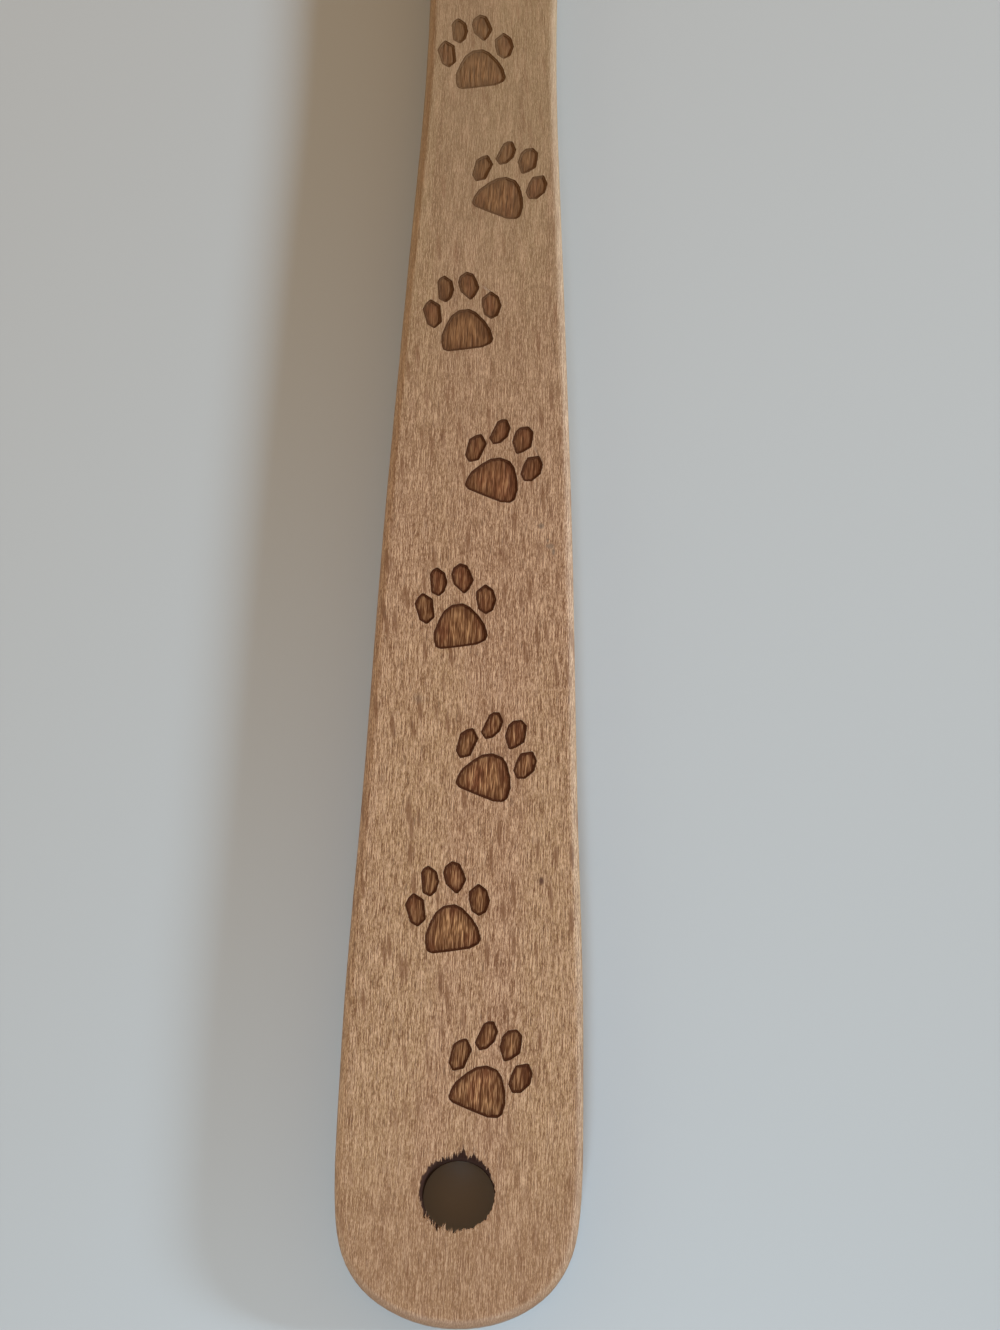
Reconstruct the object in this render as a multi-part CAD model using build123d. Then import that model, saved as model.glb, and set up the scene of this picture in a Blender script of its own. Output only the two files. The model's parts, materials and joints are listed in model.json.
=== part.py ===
"""Welsh love spoon: a flat handle with a hanging hole and a row of burnt paw prints, and a carved bowl.

Millimetres. X runs across the spoon, +Y from the hanging hole to the bowl, +Z out of the engraved face.
The origin is on the axis of the hanging hole, in the plane of the back, on which the spoon lies.
"""

import os

from build123d import *

# Handle
handle_thickness = 7.5
end_width = 27.2
neck_width = 16.1
heel_length = 14.3
handle_length = 150.0
handle_round = 1.1
hole_diameter = 8.0

# Bowl and neck
bowl_width = 60.0
bowl_height = 15.5
neck_length = 92.0
bowl_front_length = 44.0
belly_flat_width = 16.0
rim_straight = 2.0
bowl_top_round = 1.0

# Hollow of the bowl
rim_wall = 3.4
bowl_floor = 4.5
hollow_rear_length = 44.0
hollow_floor_width = 15.0
rim_inner_round = 1.2
rim_inner_turn = 65.0

# Burnt paw prints. Their size and their offset from the middle line are shares of the half width of the flat
# face at the neck, which they just fill, and their corner rounds are shares of their size.
hole_to_print = 4.2
print_to_neck = 8.9
paw_size_share = 1.439
paw_offset_share = 0.403
paw_turn = 30.3
toe_round_share = 0.03
pad_round_share = 0.05
print_sink = 0.3
scorch_floor = 0.4
scorch_wall = 0.26

# Cuts run past what they cut by this much
overrun = 2.0

# Half of the handle's outline, from the heel's tip to the widest place: shares of half the end width,
# and of the heel's length, counted up from the tip
heel_shares = [
    (0.430, 0.077),
    (0.778, 0.301),
    (0.926, 0.545),
    (0.987, 0.860),
]

# The taper: shares of the way from the hole to the end of the handle, and of the way from half the end
# width to half the neck width
taper_shares = [
    (0.055, 0.000),
    (0.140, 0.040),
    (0.270, 0.195),
    (0.420, 0.340),
    (0.540, 0.465),
    (0.655, 0.620),
    (0.780, 0.795),
    (0.905, 0.965),
]

# Sections of the neck, from the handle to the widest place of the bowl: shares of the neck's length, of the
# growth in half width, of the rise of the top, and of the growth of the lower corner
neck_shares = [
    (0.000, 0.000, 0.000, 0.000),
    (0.110, 0.000, 0.015, 0.000),
    (0.220, 0.014, 0.120, 0.010),
    (0.320, 0.070, 0.360, 0.060),
    (0.405, 0.180, 0.640, 0.165),
    (0.490, 0.360, 0.870, 0.340),
    (0.575, 0.570, 0.980, 0.550),
    (0.665, 0.750, 1.000, 0.740),
    (0.770, 0.890, 1.000, 0.885),
    (0.880, 0.973, 1.000, 0.972),
    (1.000, 1.000, 1.000, 1.000),
]

# How far each print, counted from the hole, strays from an even row: shares of the pitch along the handle,
# and of the offset from the middle line
paw_stray_shares = [
    (0.000, 0.18),
    (-0.006, -0.16),
    (-0.028, 0.07),
    (-0.033, -0.09),
    (-0.017, 0.06),
    (0.044, 0.04),
    (0.033, -0.02),
    (0.011, -0.19),
]

# Outlines of the pads of one print, on a left-hand print, as shares of the print's size from its middle
outer_toe_shares = [
    (-0.368, 0.070),
    (-0.246, -0.008),
    (-0.216, -0.235),
    (-0.306, -0.325),
    (-0.396, -0.270),
    (-0.462, -0.068),
    (-0.424, 0.012),
]
left_toe_shares = [
    (-0.208, 0.388),
    (-0.110, 0.316),
    (-0.080, 0.200),
    (-0.112, 0.085),
    (-0.176, 0.022),
    (-0.268, 0.068),
    (-0.294, 0.300),
    (-0.266, 0.352),
]
top_toe_shares = [
    (0.055, 0.445),
    (0.145, 0.418),
    (0.190, 0.330),
    (0.228, 0.232),
    (0.178, 0.125),
    (0.122, 0.056),
    (-0.008, 0.175),
    (-0.042, 0.305),
    (-0.022, 0.382),
]
right_toe_shares = [
    (0.364, 0.196),
    (0.462, 0.122),
    (0.502, 0.000),
    (0.462, -0.132),
    (0.378, -0.184),
    (0.290, -0.124),
    (0.260, 0.000),
    (0.254, 0.098),
]
main_pad_shares = [
    (0.105, -0.050),
    (0.192, -0.092),
    (0.305, -0.205),
    (0.376, -0.315),
    (0.412, -0.440),
    (0.385, -0.502),
    (0.285, -0.555),
    (0.055, -0.594),
    (-0.130, -0.620),
    (-0.198, -0.598),
    (-0.220, -0.500),
    (-0.220, -0.405),
    (-0.170, -0.260),
    (-0.112, -0.148),
    (-0.022, -0.072),
]

# Worked out from the sizes above
end_half = end_width / 2
neck_half = neck_width / 2
bowl_half = bowl_width / 2
belly_half = belly_flat_width / 2
hollow_half = bowl_half - rim_wall
hollow_floor_half = hollow_floor_width / 2
hollow_front_length = bowl_front_length - rim_wall
hole_radius = hole_diameter / 2
bowl_y = handle_length + neck_length
belly_rise = bowl_height - bowl_top_round - rim_straight
neck_flat_half = neck_half - handle_round
paw_size = paw_size_share * neck_flat_half
paw_offset = paw_offset_share * neck_flat_half
lowest_paw_share = min(up for across, up in main_pad_shares)
first_paw_y = hole_radius + hole_to_print - lowest_paw_share * paw_size
last_paw_y = handle_length - print_to_neck
paw_pitch = (last_paw_y - first_paw_y) / (len(paw_stray_shares) - 1)
bed_depth = print_sink + scorch_floor


def between(low, high, share):
    """The value that lies this share of the way from low to high."""
    return low + (high - low) * share


def handle_side():
    """Points of the handle's right side, from the heel's tip to the neck."""
    points = [(0, -heel_length)]
    for across, up in heel_shares:
        points.append((across * end_half, between(-heel_length, 0, up)))
    for along, inward in taper_shares:
        points.append((between(end_half, neck_half, inward), along * handle_length))
    points.append((neck_half, handle_length))
    return points


def handle_blank():
    """The flat handle with rounded edges, from the heel to the plane across the neck."""
    right = Spline(*handle_side(), tangents=[(1, 0), (0, 1)], tangent_scalars=[1, 1])
    left = mirror(right, about=Plane.YZ)
    across = Line((-neck_half, handle_length), (neck_half, handle_length))
    outline = make_face([right, across, left])
    blank = extrude(outline, handle_thickness)
    long_edges = blank.edges().filter_by(Plane.XY).filter_by(GeomType.BSPLINE)
    return fillet(long_edges, handle_round)


def hanging_hole():
    """The hole drilled straight through the handle."""
    return Pos(0, 0, handle_thickness / 2) * Cylinder(hole_radius, handle_thickness + overrun)


def pad_outline(shares, round_share):
    """One pad's outline on a left-hand print about its middle, with rounded corners."""
    points = [(across * paw_size, up * paw_size) for across, up in shares]
    outline = make_face(Polyline(*points, close=True))
    return fillet(outline.vertices(), round_share * paw_size)


def print_outlines():
    """The outlines of the four toes and the main pad of a left-hand print."""
    toes = [outer_toe_shares, left_toe_shares, top_toe_shares, right_toe_shares]
    outlines = [pad_outline(toe, toe_round_share) for toe in toes]
    outlines.append(pad_outline(main_pad_shares, pad_round_share))
    return outlines


def paw_place(index):
    """Where a print's middle lies in the upper face: every other one is turned and right of the middle."""
    along_share, aside_share = paw_stray_shares[index]
    y = first_paw_y + (index + along_share) * paw_pitch
    aside = paw_offset * (1 + aside_share)
    if index % 2 == 0:
        return Pos(aside, y, handle_thickness) * Rot(0, 0, -paw_turn)
    return Pos(-aside, y, handle_thickness)


def scorched_pad(outline):
    """A charred skin: a thin floor with a standing wall, which lines the pad's bed up to the face."""
    bed = extrude(outline, -bed_depth)
    hollow = extrude(offset(outline, -scorch_wall), -print_sink)
    return bed - hollow


def sunk_bed(outline):
    """The wood that a pad takes out of the handle's face."""
    return extrude(outline, -bed_depth) + extrude(outline, overrun)


def neck_section(along, growth, rise, corner):
    """One section across the neck, a flat-backed shape with four rounded corners."""
    y = handle_length + along * neck_length
    half = between(neck_half, bowl_half, growth)
    top = between(handle_thickness, bowl_height, rise)
    upper = between(handle_round, bowl_top_round, rise)
    foot = between(neck_half - handle_round, belly_half, corner)
    lower = between(handle_round, belly_rise, corner)
    plane = Plane((0, y, 0), x_dir=(1, 0, 0), z_dir=(0, -1, 0))
    bottom_edge = Line((-foot, 0), (foot, 0))
    right_corner = EllipticalCenterArc((foot, lower), half - foot, lower, start_angle=270)
    right_side = Line((half, lower), (half, top - upper))
    right_shoulder = CenterArc((half - upper, top - upper), upper, 0, 90)
    top_edge = Line((half - upper, top), (upper - half, top))
    left_shoulder = CenterArc((upper - half, top - upper), upper, 90, 90)
    left_side = Line((-half, top - upper), (-half, lower))
    left_corner = EllipticalCenterArc((-foot, lower), half - foot, lower, start_angle=180)
    edges = [
        bottom_edge,
        right_corner,
        right_side,
        right_shoulder,
        top_edge,
        left_shoulder,
        left_side,
        left_corner,
    ]
    return plane * make_face(edges)


def round_half(profile, front_length, half_width):
    """A profile in the XZ plane turned half a turn about Z, and stretched to its length along Y."""
    turned = revolve(profile, Axis.Z, 180)
    return scale(turned, (1, front_length / half_width, 1))


def outer_profile():
    """Half the bowl's section at its widest place, right of the middle."""
    upper = bowl_top_round
    bottom_edge = Line((0, 0), (belly_half, 0))
    corner = EllipticalCenterArc(
        (belly_half, belly_rise), bowl_half - belly_half, belly_rise, start_angle=270
    )
    side = Line((bowl_half, belly_rise), (bowl_half, bowl_height - upper))
    shoulder = CenterArc((bowl_half - upper, bowl_height - upper), upper, 0, 90)
    top_edge = Line((bowl_half - upper, bowl_height), (0, bowl_height))
    middle = Line((0, bowl_height), (0, 0))
    return Plane.XZ * make_face([bottom_edge, corner, side, shoulder, top_edge, middle])


def hollow_profile():
    """Half the hollow's section at the widest place, with a rounded lip, up past the rim."""
    lip_start = bowl_height - rim_inner_round
    depth = lip_start - bowl_floor
    bottom_edge = Line((0, bowl_floor), (hollow_floor_half, bowl_floor))
    corner = EllipticalCenterArc(
        (hollow_floor_half, lip_start), hollow_half - hollow_floor_half, depth, start_angle=270
    )
    lip = JernArc((hollow_half, lip_start), (0, 1), rim_inner_round, -rim_inner_turn)
    run_out = PolarLine(lip @ 1, overrun, direction=lip % 1)
    top_edge = Line(run_out @ 1, (0, (run_out @ 1).Y))
    middle = Line((0, (run_out @ 1).Y), (0, bowl_floor))
    return Plane.XZ * make_face([bottom_edge, corner, lip, run_out, top_edge, middle])


def bowl():
    """The neck and the bowl, hollowed from above."""
    rear = loft([neck_section(*shares) for shares in neck_shares])
    front = Pos(0, bowl_y, 0) * round_half(outer_profile(), bowl_front_length, bowl_half)
    hollow_front = round_half(hollow_profile(), hollow_front_length, hollow_half)
    hollow_rear = mirror(round_half(hollow_profile(), hollow_rear_length, hollow_half), about=Plane.XZ)
    hollow = Pos(0, bowl_y, 0) * (hollow_front + hollow_rear)
    return rear + front - hollow


os.makedirs("parts", exist_ok=True)
outlines = print_outlines()
handle = handle_blank() - hanging_hole()
for index in range(len(paw_stray_shares)):
    place = paw_place(index)
    beds = [place * sunk_bed(outline) for outline in outlines]
    skins = [place * scorched_pad(outline) for outline in outlines]
    handle = handle - beds
    number = len(paw_stray_shares) - index
    export_step(Compound(children=skins), f"parts/paw_print_{number}.step")
export_step(handle, "parts/handle.step")
export_step(bowl(), "parts/bowl.step")
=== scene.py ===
import json
import math
import random

import bmesh
import bpy
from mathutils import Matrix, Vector, kdtree, noise


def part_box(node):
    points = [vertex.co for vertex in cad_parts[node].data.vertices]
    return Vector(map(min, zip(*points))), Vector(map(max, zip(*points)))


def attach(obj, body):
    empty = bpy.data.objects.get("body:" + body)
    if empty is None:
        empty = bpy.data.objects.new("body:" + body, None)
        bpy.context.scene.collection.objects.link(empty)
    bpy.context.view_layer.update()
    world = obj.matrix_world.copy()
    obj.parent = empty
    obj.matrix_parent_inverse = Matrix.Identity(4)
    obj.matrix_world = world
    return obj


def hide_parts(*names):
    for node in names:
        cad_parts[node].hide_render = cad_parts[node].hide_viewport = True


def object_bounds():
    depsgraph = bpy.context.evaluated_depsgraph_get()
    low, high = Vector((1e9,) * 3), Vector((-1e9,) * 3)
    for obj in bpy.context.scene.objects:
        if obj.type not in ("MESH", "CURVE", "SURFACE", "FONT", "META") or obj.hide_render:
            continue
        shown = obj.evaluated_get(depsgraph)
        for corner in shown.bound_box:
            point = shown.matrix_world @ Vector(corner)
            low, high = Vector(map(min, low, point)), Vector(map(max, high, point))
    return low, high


# A beech love spoon lying on a pale table, seen from above its hanging end.
# Metres. X runs across the spoon, +Y from the hanging hole to the bowl, +Z out of the engraved face.

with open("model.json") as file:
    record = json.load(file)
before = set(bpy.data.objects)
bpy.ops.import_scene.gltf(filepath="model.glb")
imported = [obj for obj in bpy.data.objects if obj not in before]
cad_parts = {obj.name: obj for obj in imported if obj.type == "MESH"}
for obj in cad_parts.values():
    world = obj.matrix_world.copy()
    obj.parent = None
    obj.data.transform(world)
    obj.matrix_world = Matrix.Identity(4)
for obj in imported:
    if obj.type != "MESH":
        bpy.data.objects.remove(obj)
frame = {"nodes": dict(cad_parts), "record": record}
cad_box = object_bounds()

mm = 0.001
print_name = "paw_print_"
print_count = sum(name.startswith(print_name) for name in frame["nodes"])
face_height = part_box("handle")[1].z
hole = next(mount for mount in frame["record"]["mounts"] if mount["name"] == "hanging_hole")
hole_radius = hole["dims"]["r_mm"] * mm
up = Vector((0, 0, 1))


# Camera: where the photograph was taken from, above the hanging hole and looking along the handle
camera_place = (4.99 * mm, -18.69 * mm, 275.1 * mm)
camera_turn = (math.radians(16.42), math.radians(-0.02), math.radians(1.47))
camera_lens = 64.96
camera_near = 10 * mm
camera_far = 20.0


def add_camera():
    camera = bpy.data.cameras.new("camera")
    camera.lens = camera_lens
    camera.clip_start = camera_near
    camera.clip_end = camera_far
    stand = bpy.data.objects.new("camera", camera)
    stand.location = camera_place
    stand.rotation_euler = camera_turn
    bpy.context.scene.collection.objects.link(stand)
    bpy.context.scene.camera = stand


# Patterns: noise runs from nought to one about this middle, with one finer layer on top of it
noise_middle = 0.5
noise_detail = 1.0
wander_shift = (5, 5, 5)


class Tone:
    """One output of a shader node. Arithmetic on it adds Math nodes."""

    def __init__(self, finish, socket):
        self.finish = finish
        self.socket = socket

    def __add__(self, other):
        return self.finish.maths("ADD", self, other)

    def __radd__(self, other):
        return self.finish.maths("ADD", other, self)

    def __sub__(self, other):
        return self.finish.maths("SUBTRACT", self, other)

    def __rsub__(self, other):
        return self.finish.maths("SUBTRACT", other, self)

    def __mul__(self, other):
        return self.finish.maths("MULTIPLY", self, other)

    def __rmul__(self, other):
        return self.finish.maths("MULTIPLY", other, self)

    def __truediv__(self, other):
        return self.finish.maths("DIVIDE", self, other)


class Finish:
    """A material and the few kinds of pattern that its colour is mixed from."""

    def __init__(self, name):
        self.material = bpy.data.materials.new(name)
        self.material.use_nodes = True
        self.tree = self.material.node_tree
        self.surface = self.tree.nodes["Principled BSDF"].inputs

    def node(self, kind, settings, sockets, output=0):
        made = self.tree.nodes.new(kind)
        for name, value in settings.items():
            setattr(made, name, value)
        for name, value in sockets.items():
            self.feed(made.inputs[name], value)
        return Tone(self, made.outputs[output])

    def feed(self, socket, value):
        if isinstance(value, Tone):
            self.tree.links.new(value.socket, socket)
        else:
            socket.default_value = value

    def maths(self, operation, *values):
        return self.node("ShaderNodeMath", {"operation": operation}, dict(enumerate(values)))

    def place(self):
        return self.node("ShaderNodeTexCoord", {}, {}, "Object")

    def facing(self):
        return self.node("ShaderNodeTexCoord", {}, {}, "Normal")

    def share_of(self, vector, axis):
        return self.node("ShaderNodeSeparateXYZ", {}, {"Vector": vector}, axis)

    def length_of(self, vector):
        return self.node("ShaderNodeVectorMath", {"operation": "LENGTH"}, {0: vector}, "Value")

    def mapped(self, place, scale, shift=(0, 0, 0), turn=0.0):
        """Places scaled, turned about Z and then shifted."""
        sockets = {"Vector": place, "Location": shift, "Rotation": (0, 0, turn), "Scale": scale}
        return self.node("ShaderNodeMapping", {"vector_type": "POINT"}, sockets)

    def grain_place(self, lean):
        """Places in millimetres, turned so that Y follows the grain."""
        return self.mapped(self.place(), (1 / mm, 1 / mm, 1 / mm), turn=lean)

    def stretch(self, place, size, shift):
        """Places divided by the size of one feature of a pattern across, along and below the face."""
        across, along, below = size
        return self.mapped(place, (1 / across, 1 / along, 1 / below), shift)

    def clouds(self, place, size, shift=(0, 0, 0), roughness=0.5):
        settings = {"noise_dimensions": "3D"}
        place = self.stretch(place, size, shift)
        sockets = {"Vector": place, "Scale": 1.0, "Detail": noise_detail, "Roughness": roughness}
        return self.node("ShaderNodeTexNoise", settings, sockets)

    def spindles(self, place, size, shift):
        """Distance from the middle of slim spindles that are strewn one to a cell of that size."""
        settings = {"voronoi_dimensions": "3D", "feature": "F1"}
        sockets = {"Vector": self.stretch(place, size, shift), "Scale": 1.0}
        return self.node("ShaderNodeTexVoronoi", settings, sockets, "Distance")

    def wander(self, place, size, swing):
        """Places pushed aside a little, so that the grain doesn't run quite straight."""
        push = self.clouds(place, size, wander_shift)
        sway = self.node("ShaderNodeCombineXYZ", {}, {"X": (push - noise_middle) * (2 * swing)})
        return self.node("ShaderNodeVectorMath", {"operation": "ADD"}, {0: place, 1: sway})

    def spot(self, middle, half):
        """The distance from the middle of an oval mark on the face, in halves of its width and length."""
        scale = (1 / (half[0] * mm), 1 / (half[1] * mm), 0)
        shift = (-middle[0] / half[0], -middle[1] / half[1], 0)
        return self.length_of(self.mapped(self.place(), scale, shift))

    def fade(self, value, stops):
        """Nought up to the first stop, one past the second, and smooth between."""
        settings = {"interpolation_type": "SMOOTHSTEP"}
        sockets = {"Value": value, "From Min": stops[0], "From Max": stops[1]}
        return self.node("ShaderNodeMapRange", settings, sockets)

    def calm(self, value, stops, least):
        """A fade that starts from the least share instead of nought."""
        return self.fade(value, stops) * (1 - least) + least

    def blend(self, first, second, share):
        return self.node("ShaderNodeMix", {"data_type": "RGBA"}, {0: share, 6: first, 7: second}, 2)

    def height(self):
        return self.share_of(self.place(), "Z")

    def along(self):
        return self.share_of(self.place(), "Y")

    def below_face(self, depths):
        """Nought down to the first depth under the face, one past the second."""
        return self.fade(self.height(), [face_height - depth for depth in depths])

    def upright(self):
        """One where the surface faces up or down, nought where it stands."""
        return self.maths("ABSOLUTE", self.share_of(self.facing(), "Z"))

    def lengthways(self):
        """One where the surface faces along the grain, as at the heel, nought where it faces across."""
        return self.maths("ABSOLUTE", self.share_of(self.facing(), "Y"))

    def from_axis(self):
        """The distance from the axis of the hanging hole."""
        flat = self.node("ShaderNodeVectorMath", {"operation": "MULTIPLY"}, {0: self.place(), 1: (1, 1, 0)})
        return self.length_of(flat)

    def seen(self):
        """One for what the camera and reflections see, nought for light that falls on the spoon."""
        seen = self.node("ShaderNodeLightPath", {}, {}, "Is Camera Ray")
        for ray in ("Is Glossy Ray", "Is Transmission Ray"):
            seen = seen + self.node("ShaderNodeLightPath", {}, {}, ray)
        return seen

    def complete(self, colour, roughness, gloss, relief, relief_depth):
        """Feeds the surface and gives the material."""
        bump = self.node("ShaderNodeBump", {}, {"Height": relief, "Distance": relief_depth, "Strength": 1.0})
        self.feed(self.surface["Base Color"], colour)
        self.feed(self.surface["Roughness"], roughness)
        self.feed(self.surface["Specular IOR Level"], gloss)
        self.feed(self.surface["Normal"], bump)
        return self.material


def from_screen(red, green, blue):
    """A colour as it is read off a screen, 0 to 255, in the linear light that a shader works in."""
    def linear(value):
        share = value / 255
        if share <= 0.04045:
            return share / 12.92
        return ((share + 0.055) / 1.055) ** 2.4

    return (linear(red), linear(green), linear(blue), 1.0)


# Beech
beech_body = from_screen(168, 132, 92)
# painted shade: the neck's wood greyer and darker, the heel's browner and darker
beech_neck_shade = from_screen(138, 119, 86)
beech_heel_shade = from_screen(150, 112, 76)
beech_pink = from_screen(163, 123, 89)
beech_dark = from_screen(110, 66, 35)
beech_pale = from_screen(216, 178, 142)
fleck_brown = from_screen(122, 80, 48)
pore_brown = from_screen(96, 64, 40)
# paler rounded edges: partly wear, partly a painted highlight
edge_wear_and_highlight = from_screen(186, 156, 124)
# painted shade in the hanging hole, darker with depth under the face
torn_lip_shade = from_screen(146, 102, 66)
bore_wall_shade = from_screen(72, 40, 26)
end_grain = from_screen(118, 82, 54)
# a pin knot's colour, also used as painted shade at the tips of the hole's torn notches
pin_knot_and_notch_shade = from_screen(92, 56, 34)
smudge_grey = from_screen(98, 84, 70)
beech_roughness = 0.62
beech_gloss = 0.4
beech_relief = 0.06 * mm

# The grain leans a little from the handle's middle line, and its rays lean the other way
grain_lean = math.radians(1.2)
ray_lean = math.radians(-5)

# Patterns of the beech. A size is that of one feature in millimetres across, along and below the face.
# A shift keeps two patterns from lining up.
grain_wander_size = (14.0, 40.0, 14.0)
grain_swing = 0.8
ray_wander_size = (10.0, 30.0, 10.0)
ray_swing = 1.6
tone_size = (9.0, 60.0, 9.0)
band_size = (0.9, 26.0, 3.0)
band_shift = (3, 7, 1)
mottle_size = (1.2, 5.0, 2.0)
mottle_shift = (8, 2, 6)
short_fibre_size = (0.065, 0.45, 0.2)
short_fibre_roughness = 0.7
short_fibre_share = 0.5
long_fibre_size = (0.07, 3.0, 0.25)
long_fibre_shift = (1, 4, 9)
long_fibre_roughness = 0.6
ray_size = (1.1, 7.0, 5.0)
ray_shift = (11, 5, 2)
pore_size = (0.45, 3.6, 1.2)
pore_shift = (4, 8, 3)

# Stops say where a tone starts to show and where it is full, and a share says how full. First by the
# values of each pattern
pink_stops = (0.35, 0.65)
band_stops = (0.48, 0.75)
band_share = 0.22
mottle_stops = (0.5, 0.75)
mottle_share = 0.18
dark_fibre_stops = (0.50, 0.41)
pale_fibre_stops = (0.50, 0.61)
ray_stops = (0.31, 0.14)
ray_share = 0.75
pore_stops = (0.20, 0.10)
pore_share = 0.6
mark_stops = (1.0, 0.3)

# Then by the distance along the handle from the hole: painted shade makes the neck greyer and darker and the
# heel browner and darker, and the neck is plainer
neck_shade_stops = (50 * mm, 135 * mm)
neck_shade_share = 0.6
neck_calm_stops = (135 * mm, 60 * mm)
neck_calm_least = 0.35
heel_shade_stops = (6 * mm, -8 * mm)
heel_shade_share = 0.8
heel_calm_stops = (-8 * mm, 18 * mm)
heel_calm_least = 0.65
heel_ray_stops = (-5 * mm, 30 * mm)
heel_ray_least = 0.5

# Then by the way that the surface faces: the grain shows on the face, and the rounded edges are paler,
# partly from wear and partly from a painted highlight
face_stops = (0.05, 0.6)
face_contrast = 0.75
edge_contrast = 0.15
wear_and_highlight_from_side_stops = (0.2, 0.45)
wear_and_highlight_from_face_stops = (0.995, 0.85)
wear_and_highlight_share = 0.22
end_grain_stops = (0.15, 0.75)
end_grain_share = 0.55

# And round the hole, painted shade by the distance from its axis and the depth under the face
near_hole_stops = (5.6 * mm, 5.2 * mm)
torn_shade_depths = (0.03 * mm, 0.16 * mm)
bore_shade_depths = (0.2 * mm, 1.1 * mm)

# Marks on the face: millimetres across and along the handle, half width and half length, colour and depth.
# The last three are painted shade at the tips of the torn notches on the hole's bowl side, in the knot's
# colour
beech_marks = [
    (8.4, 34.8, 0.36, 0.62, pin_knot_and_notch_shade, 1.0),
    (8.4, 34.8, 0.75, 1.00, pin_knot_and_notch_shade, 0.25),
    (7.5, 77.4, 0.50, 0.50, smudge_grey, 0.55),
    (8.6, 74.9, 0.70, 0.50, smudge_grey, 0.5),
    (9.0, 74.2, 0.25, 0.60, smudge_grey, 0.6),
    (8.3, 75.6, 0.20, 0.35, smudge_grey, 0.5),
    (-6.3, 55.9, 1.00, 0.80, smudge_grey, 0.25),
    # painted shade at the tips of the torn notches on the hole's bowl side
    (0.45, 4.95, 0.16, 0.40, pin_knot_and_notch_shade, 0.7),
    (-0.05, 4.75, 0.14, 0.28, pin_knot_and_notch_shade, 0.5),
    (1.62, 4.70, 0.14, 0.36, pin_knot_and_notch_shade, 0.6),
]


def beech_grain(finish):
    """Places that follow the grain of the whole spoon."""
    return finish.wander(finish.grain_place(grain_lean), grain_wander_size, grain_swing)


def beech_ground(finish, place, along):
    """The slow change of tone over the board, painted shade at the neck and the heel, its growth bands and
    its mottle.
    """
    tone = finish.clouds(place, tone_size)
    colour = finish.blend(beech_body, beech_pink, finish.fade(tone, pink_stops))
    # painted shade: the neck greyer and darker, the heel browner and darker
    colour = finish.blend(colour, beech_neck_shade, finish.fade(along, neck_shade_stops) * neck_shade_share)
    colour = finish.blend(colour, beech_heel_shade, finish.fade(along, heel_shade_stops) * heel_shade_share)
    bands = finish.clouds(place, band_size, band_shift)
    colour = finish.blend(colour, beech_dark, finish.fade(bands, band_stops) * band_share)
    mottle = finish.clouds(place, mottle_size, mottle_shift)
    return finish.blend(colour, beech_pale, finish.fade(mottle, mottle_stops) * mottle_share)


def beech_fibres(finish, place):
    """Short fibres and long ones, mixed."""
    short_fibres = finish.clouds(place, short_fibre_size, roughness=short_fibre_roughness)
    long_fibres = finish.clouds(place, long_fibre_size, long_fibre_shift, long_fibre_roughness)
    return short_fibres * short_fibre_share + long_fibres * (1 - short_fibre_share)


def beech_rays(finish, along):
    """How strongly the ray flecks show: less at the neck and the heel."""
    place = finish.wander(finish.grain_place(ray_lean), ray_wander_size, ray_swing)
    rays = finish.fade(finish.spindles(place, ray_size, ray_shift), ray_stops) * ray_share
    rays = rays * finish.calm(along, neck_calm_stops, neck_calm_least)
    return rays * finish.calm(along, heel_ray_stops, heel_ray_least)


def beech_wear_highlight_and_shade(finish, colour, upright):
    """Rounded edges paler from wear and a painted highlight, the marks on the face with painted shade at the
    hole's notches, and the end grain of the heel.
    """
    wear_and_highlight = finish.fade(upright, wear_and_highlight_from_side_stops) * finish.fade(upright, wear_and_highlight_from_face_stops)
    # the rounded edges paler: partly wear, partly a painted highlight
    colour = finish.blend(colour, edge_wear_and_highlight, wear_and_highlight * wear_and_highlight_share)
    for across, along, width, length, tint, depth in beech_marks:
        spot = finish.spot((across, along), (width, length))
        colour = finish.blend(colour, tint, finish.fade(spot, mark_stops) * depth)
    ends = finish.fade(finish.lengthways(), end_grain_stops)
    return finish.blend(colour, end_grain, ends * end_grain_share)


def beech_hole_shade(finish, colour):
    """Painted shade in the hanging hole: the torn lip a little darker just under the face, the bore's wall
    much darker deeper down.
    """
    near_hole = finish.fade(finish.from_axis(), near_hole_stops)
    colour = finish.blend(colour, torn_lip_shade, finish.below_face(torn_shade_depths) * near_hole)
    return finish.blend(colour, bore_wall_shade, finish.below_face(bore_shade_depths) * near_hole)


def beech_wood():
    finish = Finish("beech")
    place = beech_grain(finish)
    along = finish.along()
    upright = finish.upright()
    face = finish.fade(upright, face_stops)
    fibres = beech_fibres(finish, place)
    contrast = face * face_contrast + edge_contrast
    contrast = contrast * finish.calm(along, neck_calm_stops, neck_calm_least)
    contrast = contrast * finish.calm(along, heel_calm_stops, heel_calm_least)
    colour = beech_ground(finish, place, along)
    colour = finish.blend(colour, beech_dark, finish.fade(fibres, dark_fibre_stops) * contrast)
    colour = finish.blend(colour, beech_pale, finish.fade(fibres, pale_fibre_stops) * contrast)
    colour = finish.blend(colour, fleck_brown, beech_rays(finish, along))
    pores = finish.fade(finish.spindles(place, pore_size, pore_shift), pore_stops)
    colour = finish.blend(colour, pore_brown, pores * pore_share * contrast)
    colour = beech_wear_highlight_and_shade(finish, colour, upright)
    colour = beech_hole_shade(finish, colour)
    return finish.complete(colour, beech_roughness, beech_gloss, fibres * face, beech_relief)


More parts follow.
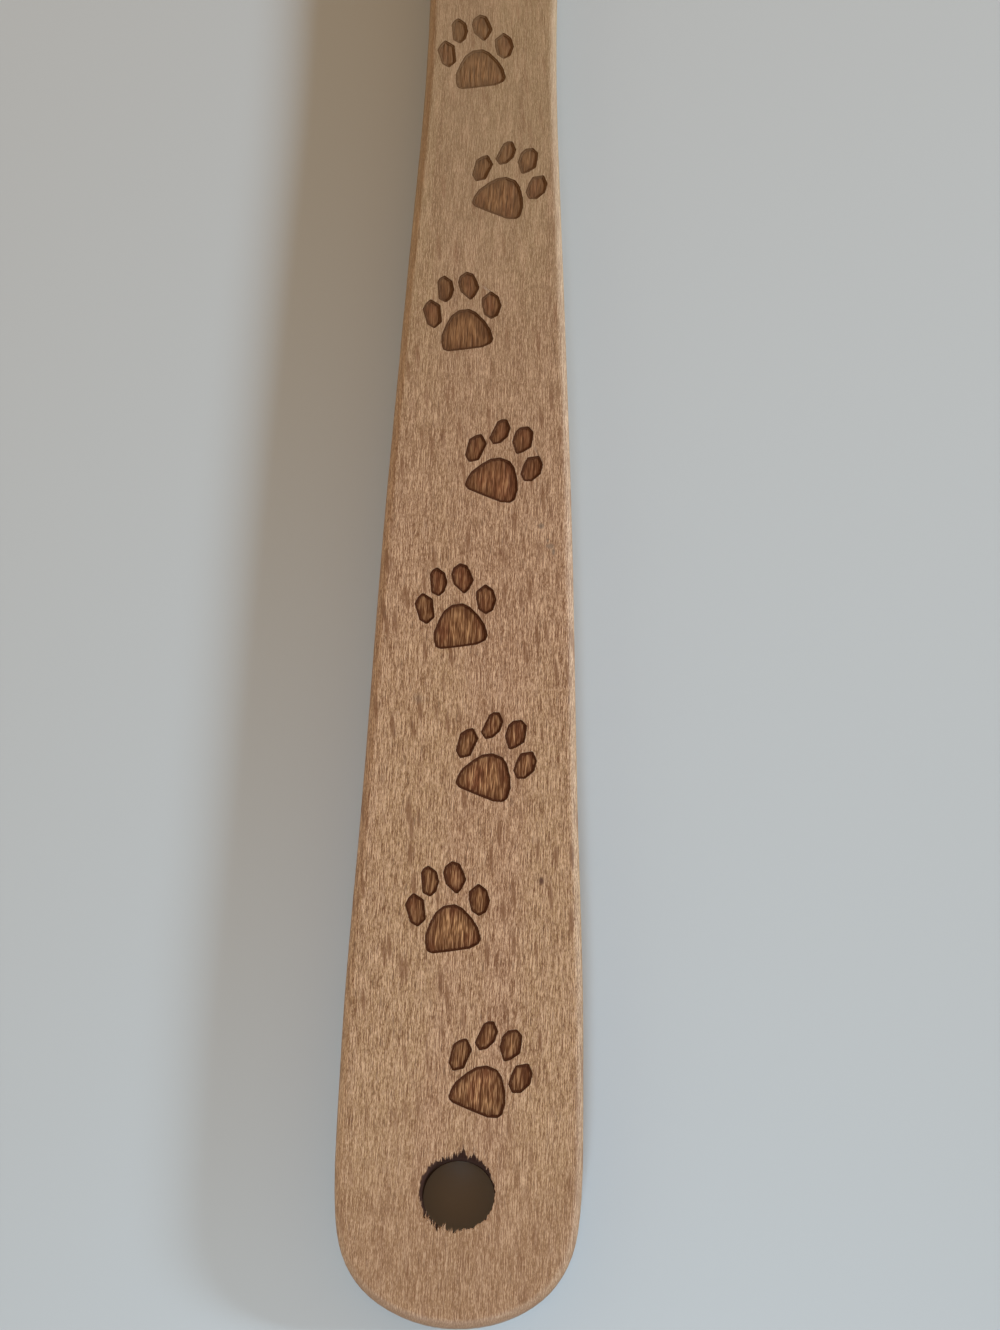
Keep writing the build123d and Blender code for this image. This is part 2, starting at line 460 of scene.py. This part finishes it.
# Scorched beech, in the same kinds of value as the beech
scorch_brown = from_screen(124, 84, 52)
scorch_red = from_screen(126, 78, 50)
scorch_dark = from_screen(80, 46, 26)
scorch_pale = from_screen(196, 150, 104)
scorch_rim = from_screen(66, 32, 15)
scorch_roughness = 0.9
scorch_gloss = 0.1
scorch_relief = 0.03 * mm
patch_size = (2.5, 6.0, 3.0)
patch_stops = (0.4, 0.65)
streak_size = (0.10, 1.6, 0.5)
streak_roughness = 0.75
streak_share = 0.65
ridge_stops = (-0.5, 1.5)
scorch_dark_stops = (0.50, 0.40)
scorch_dark_share = 0.9
scorch_pale_stops = (0.51, 0.62)
scorch_calm_stops = (95 * mm, 55 * mm)
scorch_calm_least = 0.35

# By the distance inwards from a pad's outline: a charred border and a darker line, ragged by that width
char_stops = (1.7 * mm, 0.3 * mm)
char_share = 0.5
ragged_size = (0.14, 0.5, 0.3)
ragged_shift = (2, 2, 2)
ragged_width = 0.3 * mm
line_stops = (0.42 * mm, 0.22 * mm)
line_share = 0.95

# The prints are burnt more faintly towards the neck, where they take on the neck's painted shade
faint_stops = (70 * mm, 150 * mm)
faint_share = 0.28
faint_line_share = 0.4


def scorched_beech():
    finish = Finish("scorched_beech")
    place = beech_grain(finish)
    along = finish.along()
    patch = finish.clouds(place, patch_size)
    colour = finish.blend(scorch_brown, scorch_red, finish.fade(patch, patch_stops))

    streaks = finish.clouds(place, streak_size, roughness=streak_roughness)
    ridge = (finish.height() - (face_height - print_depth)) / print_relief + noise_middle
    tone = streaks * streak_share + finish.fade(ridge, ridge_stops) * (1 - streak_share)
    colour = finish.blend(colour, scorch_dark, finish.fade(tone, scorch_dark_stops) * scorch_dark_share)
    calm = finish.calm(along, scorch_calm_stops, scorch_calm_least)
    colour = finish.blend(colour, scorch_pale, finish.fade(tone, scorch_pale_stops) * calm)

    inwards = finish.node("ShaderNodeAttribute", {"attribute_name": "from_edge"}, {}, "Fac")
    colour = finish.blend(colour, scorch_dark, finish.fade(inwards, char_stops) * char_share)
    ragged = finish.clouds(place, ragged_size, ragged_shift)
    line = finish.fade(inwards + (ragged - noise_middle) * ragged_width, line_stops)
    faint = finish.fade(along, faint_stops)
    colour = finish.blend(colour, scorch_rim, line * (line_share - faint * faint_line_share))
    # the prints near the neck take on its painted shade
    colour = finish.blend(colour, beech_neck_shade, faint * faint_share)
    return finish.complete(colour, scorch_roughness, scorch_gloss, streaks, scorch_relief)


# Shapes: corners closer than the weld are one
weld = 0.0001 * mm


def copy_of(node):
    """The mesh of one solid, with its doubled corners joined."""
    shape = bmesh.new()
    shape.from_mesh(frame["nodes"][node].data)
    bmesh.ops.remove_doubles(shape, verts=shape.verts, dist=weld)
    return shape


def finished(name, shape, material, sharp):
    """Makes the object of a finished shape, smooth but for the edges that turn by more than sharp."""
    mesh = bpy.data.meshes.new(name)
    shape.to_mesh(mesh)
    shape.free()
    mesh.materials.append(material)
    mesh.shade_smooth()
    mesh.set_sharp_from_angle(angle=sharp)
    piece = bpy.data.objects.new(name, mesh)
    bpy.context.scene.collection.objects.link(piece)
    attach(piece, "root")
    return piece


def draw_out(shape, lid, first):
    """Raises a new ring and a new lid on a lid, still in its place. Only the first lid stays as a bottom."""
    grown = bmesh.ops.extrude_face_region(shape, geom=lid)["geom"]
    if not first:
        bmesh.ops.delete(shape, geom=lid, context="FACES_ONLY")
    ring = [item for item in grown if isinstance(item, bmesh.types.BMVert)]
    new_lid = [item for item in grown if isinstance(item, bmesh.types.BMFace)]
    return ring, new_lid


# Burnt prints: the floor of each pad follows the grain in fine ridges, and its edge spills a little
# over the wood
print_depth = 0.18 * mm
print_relief = 0.12 * mm
ridge_across = 0.3 * mm
ridge_along = 2.4 * mm
cut_across = 0.12 * mm
cut_along = 0.25 * mm
standing_below = 0.5
edge_spill = 0.07 * mm
edge_spill_middle = 0.5
edge_across = 0.22 * mm
edge_along = 0.44 * mm
edge_noise_step = 0.5
edge_lift = 0.012 * mm
edge_slope = 0.10 * mm
print_sharp = math.radians(35)


def slice_through(shape, axis, low, high, step):
    """Cuts every face along planes that stand a step apart."""
    way = [0, 0, 0]
    way[axis] = 1
    for count in range(1, math.ceil((high - low) / step)):
        place = [0, 0, 0]
        place[axis] = low + count * step
        bmesh.ops.bisect_plane(
            shape,
            geom=shape.verts[:] + shape.edges[:] + shape.faces[:],
            dist=weld,
            plane_co=place,
            plane_no=way,
        )


def grain_noise(place, across, along, shift):
    """From -1 to 1, in streaks along the grain."""
    x = place.x * math.cos(grain_lean) - place.y * math.sin(grain_lean)
    y = place.y * math.cos(grain_lean) + place.x * math.sin(grain_lean)
    return noise.noise(Vector((x / across, y / along, shift)))


def mark_outer_walls(shape, bottom):
    """Marks the standing faces of a print's outside, which reach down to the bottom of its bed."""
    shape.normal_update()
    outside = shape.faces.layers.int.new("outside")
    for face in shape.faces:
        foot = min(vert.co.z for vert in face.verts)
        face[outside] = abs(face.normal.z) < standing_below and foot < bottom + weld
    return outside


def outline_ways(shape, outside, top):
    """The corners of a print's outlines in the face, each with the way that points out of its pad."""
    shape.normal_update()
    outline = {}
    for vert in shape.verts:
        ways = [face.normal for face in vert.link_faces if face[outside]]
        if ways and vert.co.z > top - weld:
            outline[vert] = sum(ways, Vector()).normalized()
    return outline


def measure_inwards(shape, outline, top):
    """Writes each corner's distance from the nearest outline for the finish to read."""
    nearest = kdtree.KDTree(len(outline))
    for count, vert in enumerate(outline):
        nearest.insert(vert.co, count)
    nearest.balance()
    from_edge = shape.verts.layers.float.new("from_edge")
    for vert in shape.verts:
        vert[from_edge] = nearest.find((vert.co.x, vert.co.y, top))[2]


def burnt_print(number, material):
    node = print_name + str(number)
    low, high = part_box(node)
    shape = copy_of(node)
    outside = mark_outer_walls(shape, low.z)
    slice_through(shape, 0, low.x, high.x, cut_across)
    slice_through(shape, 1, low.y, high.y, cut_along)
    outline = outline_ways(shape, outside, high.z)
    measure_inwards(shape, outline, high.z)
    for vert in shape.verts:
        if vert in outline:
            noise_here = grain_noise(vert.co, edge_across, edge_along, number + edge_noise_step)
            spill = edge_spill * max(edge_spill_middle + noise_here, 0)
            vert.co += outline[vert] * spill + up * edge_lift
        elif vert.co.z > high.z - weld:
            vert.co.z -= edge_slope
        elif vert.co.z > low.z + weld:
            ridge = grain_noise(vert.co, ridge_across, ridge_along, number)
            vert.co.z = face_height - print_depth + ridge * print_relief / 2
    piece = finished("burnt_print_" + str(number), shape, material, print_sharp)
    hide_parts(node)
    return piece


# Torn rim of the hanging hole. The drill pulled splinters out along the grain: each row gives a notch's
# place across the hole, its width and its length, as shares of the hole's radius
bowl_side_notch_shares = [
    (-0.84, 0.08, 0.06),
    (-0.74, 0.08, 0.05),
    (-0.62, 0.10, 0.04),
    (-0.44, 0.08, 0.09),
    (-0.30, 0.08, 0.03),
    (-0.10, 0.12, 0.09),
    (0.03, 0.09, 0.15),
    (0.12, 0.13, 0.22),
    (0.33, 0.08, 0.06),
    (0.41, 0.13, 0.20),
    (0.51, 0.09, 0.12),
    (0.62, 0.10, 0.10),
    (0.72, 0.08, 0.06),
    (0.81, 0.09, 0.08),
]
heel_side_notch_shares = [
    (-0.90, 0.07, 0.16),
    (-0.82, 0.07, 0.14),
    (-0.72, 0.09, 0.12),
    (-0.63, 0.06, 0.10),
    (-0.52, 0.17, 0.18),
    (-0.38, 0.08, 0.08),
    (-0.22, 0.14, 0.06),
    (-0.06, 0.12, 0.06),
    (0.12, 0.10, 0.04),
    (0.44, 0.10, 0.04),
    (0.78, 0.08, 0.08),
]

# A notch is the blunter, the nearer to nought its power is
notch_power = 0.35

# Between the notches: worn all round and more on the left, uneven, and gritty in finer waves
rim_worn_share = 0.02
rim_left_share = 0.06
rim_left_power = 2
rim_uneven_share = 0.035
rim_uneven_waves = (4, 4)
rim_uneven_shift = 3
rim_grit_share = 0.03
rim_grit_waves = (17, 11)
rim_grit_shift = 7

# The lip is torn straight down and then slopes to the bore, which the cutter meets just inside its wall
rim_points = 900
rim_lip = 0.2 * mm
rim_depth = 3.0 * mm
rim_inside_share = 0.985
rim_above = 1.0 * mm

# The handle's own mesh is cleaned of slivers and of cuts across flat faces before it is carved
sliver = 0.002 * mm
flat_enough = math.radians(0.05)
wood_sharp = math.radians(30)


def rim_noise(x, y, waves, shift):
    return noise.noise(Vector((x * waves[0], y * waves[1], shift)))


def torn_edge(turn):
    """The rim's place at an angle: a worn circle with fine teeth, and notches that run along the grain."""
    x, y = math.cos(turn), math.sin(turn)
    reach = 1 + rim_worn_share + rim_left_share * max(-x, 0) ** rim_left_power
    reach += rim_uneven_share * rim_noise(x, y, rim_uneven_waves, rim_uneven_shift)
    reach += rim_grit_share * rim_noise(x, y, rim_grit_waves, rim_grit_shift)
    notches = bowl_side_notch_shares if y > 0 else heel_side_notch_shares
    along = 0
    for place, width, length in notches:
        near = max(1 - abs(x * reach - place) / (width / 2), 0)
        along = max(along, length * near ** notch_power)
    return Vector((x * reach, y * reach + math.copysign(along, y), 0)) * hole_radius


def torn_rim():
    """One cutter for the whole rim: the bore's own circle in the depth, which opens to the torn edge."""
    shape = bmesh.new()
    base = bmesh.ops.create_circle(shape, segments=rim_points, radius=hole_radius, cap_ends=True)["verts"]
    for vert in base:
        vert.co *= rim_inside_share
        vert.co.z = face_height - rim_depth
    ring, lid = draw_out(shape, shape.faces[:], first=True)
    for vert in ring:
        vert.co = torn_edge(math.atan2(vert.co.y, vert.co.x))
        vert.co.z = face_height - rim_lip
    ring, lid = draw_out(shape, lid, first=False)
    for vert in ring:
        vert.co.z = face_height + rim_above
    bmesh.ops.recalc_face_normals(shape, faces=shape.faces)
    return shape


def torn_handle(material):
    cutter = finished("rim", torn_rim(), material, wood_sharp)
    shape = copy_of("handle")
    bmesh.ops.dissolve_degenerate(shape, edges=shape.edges, dist=sliver)
    bmesh.ops.dissolve_limit(shape, angle_limit=flat_enough, verts=shape.verts, edges=shape.edges)
    piece = finished("handle_wood", shape, material, wood_sharp)
    cut = piece.modifiers.new("rim", "BOOLEAN")
    cut.operation = "DIFFERENCE"
    cut.solver = "EXACT"
    cut.object = cutter
    view = bpy.context.evaluated_depsgraph_get()
    carved = bpy.data.meshes.new_from_object(piece.evaluated_get(view))
    piece.modifiers.clear()
    piece.data = carved
    bpy.data.objects.remove(cutter)
    carved.set_sharp_from_angle(angle=wood_sharp)
    flat = piece.modifiers.new("flat_faces", "WEIGHTED_NORMAL")
    flat.keep_sharp = True
    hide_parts("handle")
    return piece


# Torn fibres round the hole: the longest stand at the lower left and on the bowl's side
fibre_seed = 4
fibre_count = 220
fibre_sides = 4
fibre_steps = 3
fibre_thickness = 0.06 * mm
fibre_root = 0.06 * mm
fibre_sunk = 0.015 * mm
fibre_sharp = math.radians(60)
stub_length = 0.15 * mm
frayed_length = 0.75 * mm
frayed_length_shares = (0.2, 1.0)
fibre_widths = (0.08 * mm, 0.24 * mm)

# How far a fibre leans towards the hole's middle, sways aside, and rises or sinks as a share of its length
fibre_lean = 0.3
fibre_sway = 0.2
fibre_lift = 0.5

# Where the rim is frayed: the higher the power, the narrower the stretch
frayed_way = Vector((-0.62, -0.78, 0))
frayed_power = 4
bowl_side_frayed_share = 0.6
bowl_side_power = 3

# The width that a fibre's tip keeps, as a share of what it loses at each step
fibre_blunt_share = 0.4


def grow_fibre(shape, root, way, length, width, lift):
    """A sliver that tapers from its root to a point and bends as it goes."""
    base = bmesh.ops.create_circle(shape, segments=fibre_sides, radius=0.5, cap_ends=True)["verts"]
    side = way.cross(up).normalized()
    for vert in base:
        vert.co = root + side * vert.co.x * width + up * vert.co.y * fibre_thickness
    lid = list({face for vert in base for face in vert.link_faces})
    for count in range(1, fibre_steps + 1):
        ring, lid = draw_out(shape, lid, first=count == 1)
        rise = up * (lift * length * count / fibre_steps ** 2)
        bmesh.ops.translate(shape, verts=ring, vec=way * length / fibre_steps + rise)
        centre = sum((vert.co for vert in ring), Vector()) / len(ring)
        thinner = 1 - 1 / (fibre_steps + 1 + fibre_blunt_share - count)
        for vert in ring:
            vert.co = centre + (vert.co - centre) * thinner


def torn_fibres(material):
    chance = random.Random(fibre_seed)
    shape = bmesh.new()
    for count in range(fibre_count):
        turn = chance.uniform(0, math.tau)
        rim = Vector((math.cos(turn), math.sin(turn), 0))
        frayed = max(rim.dot(frayed_way), 0) ** frayed_power
        frayed += bowl_side_frayed_share * max(rim.y, 0) ** bowl_side_power
        length = stub_length + chance.uniform(*frayed_length_shares) * frayed_length * frayed
        width = chance.uniform(*fibre_widths)
        inwards = Vector((0, -math.copysign(1, rim.y), 0))
        sway = Vector((chance.uniform(-fibre_sway, fibre_sway), 0, 0))
        way = (inwards - rim * fibre_lean + sway).normalized()
        root = torn_edge(turn) + rim * fibre_root
        root.z = face_height - fibre_sunk
        grow_fibre(shape, root, way, length, width, chance.uniform(-fibre_lift, fibre_lift * frayed))
    bmesh.ops.recalc_face_normals(shape, faces=shape.faces)
    return finished("torn_fibres", shape, material, fibre_sharp)


# Table: plain and pale. Away from the spoon it fades into the even tone of the backdrop.
table_size = 3.0
table_gap = 0.05 * mm
table_grey = (0.50, 0.53, 0.52, 1.0)
table_roughness = 0.85
table_stops = (0.197, 0.30)


def add_table():
    mesh = bpy.data.meshes.new("table")
    shape = bmesh.new()
    bmesh.ops.create_grid(shape, x_segments=1, y_segments=1, size=table_size / 2)
    bmesh.ops.translate(shape, verts=shape.verts, vec=(0, 0, -table_gap))
    shape.to_mesh(mesh)
    shape.free()
    finish = Finish("table_top")
    finish.feed(finish.surface["Base Color"], table_grey)
    finish.feed(finish.surface["Roughness"], table_roughness)
    middle = (cad_box[0] + cad_box[1]) / 2
    sockets = {0: finish.place(), 1: middle}
    apart = finish.node("ShaderNodeVectorMath", {"operation": "DISTANCE"}, sockets, "Value")
    top = Tone(finish, finish.tree.nodes["Principled BSDF"].outputs[0])
    backdrop = finish.node("ShaderNodeEmission", {}, {"Color": table_grey})
    share = finish.fade(apart, table_stops) * finish.seen()
    mixed = finish.node("ShaderNodeMixShader", {}, {0: share, 1: top, 2: backdrop})
    finish.feed(finish.tree.nodes["Material Output"].inputs["Surface"], mixed)
    mesh.materials.append(finish.material)
    table = bpy.data.objects.new("table", mesh)
    bpy.context.scene.collection.objects.link(table)


# Light: a cool window low on the right, a cool lamp beyond the hanging end, each with a soft edge that
# lies across the handle, and a warm room whose ceiling is dim
room_warm = (0.71, 0.585, 0.43, 1.0)
room_cool = (0.44, 0.355, 0.265, 1.0)
room_ceiling = (0.46, 0.25, 0.12, 1.0)
room_side_stops = (-0.7, 0.7)
ceiling_stops = (math.sin(math.radians(42)), math.sin(math.radians(55)))

window_colour = (0.64, 0.81, 1.0)
window_power = 128
window_place = Vector((1.37, 0.1, 0.55))
window_aim = Vector((0, 0.47, 0))
window_spread = math.radians(41)
window_blend = 0.4
window_radius = 0.12

lamp_colour = (0.55, 0.77, 1.0)
lamp_power = 49
lamp_place = Vector((-0.045, -0.709, 0.554))
lamp_aim = Vector((0.005, -0.215, 0))
lamp_spread = math.radians(26.5)
lamp_blend = 0.55
lamp_radius = 0.09


class Room(Finish):
    """The world's nodes."""

    def __init__(self, name):
        self.world = bpy.data.worlds.new(name)
        self.world.use_nodes = True
        self.tree = self.world.node_tree
        self.surface = self.tree.nodes["Background"].inputs


def add_room():
    room = Room("room")
    sky = room.node("ShaderNodeTexCoord", {}, {}, "Generated")
    walls = room.blend(room_warm, room_cool, room.fade(room.share_of(sky, "X"), room_side_stops))
    ceiling = room.fade(room.share_of(sky, "Z"), ceiling_stops)
    light = room.blend(walls, room_ceiling, ceiling)
    room.feed(room.surface["Color"], room.blend(light, table_grey, room.seen()))
    bpy.context.scene.world = room.world


def add_lamp(name, colour, power, place, aim, spread, blend, radius):
    light = bpy.data.lights.new(name, "SPOT")
    light.color = colour
    light.energy = power
    light.spot_size = spread
    light.spot_blend = blend
    light.shadow_soft_size = radius
    lamp = bpy.data.objects.new(name, light)
    lamp.location = place
    lamp.rotation_euler = (place - aim).to_track_quat("Z", "Y").to_euler()
    bpy.context.scene.collection.objects.link(lamp)


def add_light():
    add_room()
    add_lamp(
        "window", window_colour, window_power, window_place, window_aim,
        window_spread, window_blend, window_radius,
    )
    add_lamp(
        "lamp", lamp_colour, lamp_power, lamp_place, lamp_aim,
        lamp_spread, lamp_blend, lamp_radius,
    )


def set_view():
    bpy.context.scene.view_settings.view_transform = "Standard"


def dress(node, material):
    mesh = frame["nodes"][node].data
    for slot in range(len(mesh.materials)):
        mesh.materials[slot] = material


def set_aside(name):
    """Frees a material's name, which the frame's own plain material holds."""
    bpy.data.materials[name].name = name + "_plain"


add_camera()
add_light()
add_table()
set_view()
set_aside("beech")
set_aside("scorched_beech")
beech = beech_wood()
scorched = scorched_beech()
dress("bowl", beech)
torn_handle(beech)
torn_fibres(beech)
for number in range(1, print_count + 1):
    burnt_print(number, scorched)
